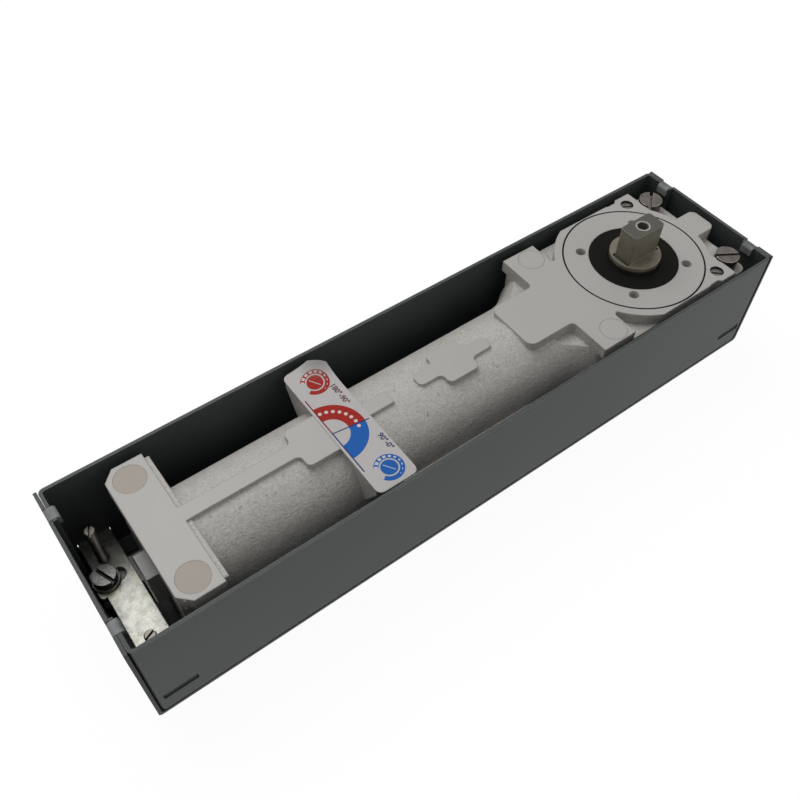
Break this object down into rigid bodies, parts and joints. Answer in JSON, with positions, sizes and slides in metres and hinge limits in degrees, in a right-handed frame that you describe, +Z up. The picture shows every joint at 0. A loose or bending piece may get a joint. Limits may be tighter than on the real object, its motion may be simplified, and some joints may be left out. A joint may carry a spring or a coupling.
{
  "type": "floor spring",
  "caption": "Hydraulic door closer in a sheet steel floor box: a cast body with a cam and spring turns a flat-sided spindle under the door.",
  "frame": {"origin": "where the spindle's axis meets the underside of the box", "axes": "+Z up along the spindle, +X along the box from the barrel towards the spindle end"},
  "size_m": [0.341, 0.081, 0.078],
  "materials": {
    "box": "dark grey-green",
    "iron": "grey paint, machined top",
    "steel": "oiled",
    "zinc": "zinc plated",
    "rubber": "matt",
    "brass": "turned",
    "spindle": "browned",
    "label": "printed sheet"
  },
  "bodies": {
    "frame": {"box_tray": "box", "box_wall_front": "box", "box_wall_back": "box", "spindle_crossbar": "zinc", "rear_crossbar": "zinc", "closer_body": "iron", "closer_lid": "iron", "shaft_seal": "rubber", "upper_bearing": "brass", "lower_bearing": "brass", "lid_o_ring": "rubber", "end_plug": "iron", "end_plug_o_ring": "rubber", "spring_seat": "steel", "closing_spring": "steel", "body_fixing_screws": "steel", "rear_clamp_washer": "zinc", "rear_clamp_screw": "steel", "head_core_plugs": "iron", "foot_plugs": "iron", "setting_label": "label"},
    "spindle": {"spindle": "spindle", "heart_cam": "steel", "spindle_socket_screw": "zinc"},
    "piston": {"piston": "steel", "piston_ring": "steel", "check_valve_body": "brass", "check_valve_ball": "steel", "roller_pin": "steel"},
    "roller": {"roller": "steel"},
    "closing_speed_valve": {"closing_speed_valve": "zinc", "closing_valve_o_ring": "rubber"},
    "latching_speed_valve": {"latching_speed_valve": "zinc", "latching_valve_o_ring": "rubber"},
    "levelling_screw_front": {"levelling_screw_front": "steel"},
    "levelling_screw_back": {"levelling_screw_back": "steel"}
  },
  "joints": [
    {"name": "spindle_turn", "type": "hinge", "parent": "frame", "child": "spindle", "pos_m": [0, 0, 0.03], "axis": [0, 0, 1], "range_deg": [0, 130], "stiffness_Nm_per_rad": 2, "springref_deg": -11.46},
    {"name": "piston_slide", "type": "slide", "parent": "frame", "child": "piston", "axis": [-1, 0, 0], "range_m": [0, 0.01301], "deforming": ["closing_spring"]},
    {"name": "roller_turn", "type": "hinge", "parent": "piston", "child": "roller", "pos_m": [-0.021, 0, 0.0295], "axis": [0, 0, 1], "continuous": true},
    {"name": "closing_speed_valve_turn", "type": "hinge", "parent": "frame", "child": "closing_speed_valve", "pos_m": [0.026, -0.03, 0.03], "axis": [0, 0, 1], "range_deg": [-360, 360]},
    {"name": "latching_speed_valve_turn", "type": "hinge", "parent": "frame", "child": "latching_speed_valve", "pos_m": [0.026, 0.03, 0.03], "axis": [0, 0, 1], "range_deg": [-360, 360]},
    {"name": "levelling_screw_front_turn", "type": "hinge", "parent": "frame", "child": "levelling_screw_front", "pos_m": [-0.2755, -0.027, 0.03], "axis": [0, 0, 1], "range_deg": [-360, 360]},
    {"name": "levelling_screw_back_turn", "type": "hinge", "parent": "frame", "child": "levelling_screw_back", "pos_m": [-0.2755, 0.027, 0.03], "axis": [0, 0, 1], "range_deg": [-360, 360]}
  ],
  "couplings": [
    {"joint": "piston_slide", "follows": "spindle_turn", "m_per_rad": 0.0057296}
  ]
}
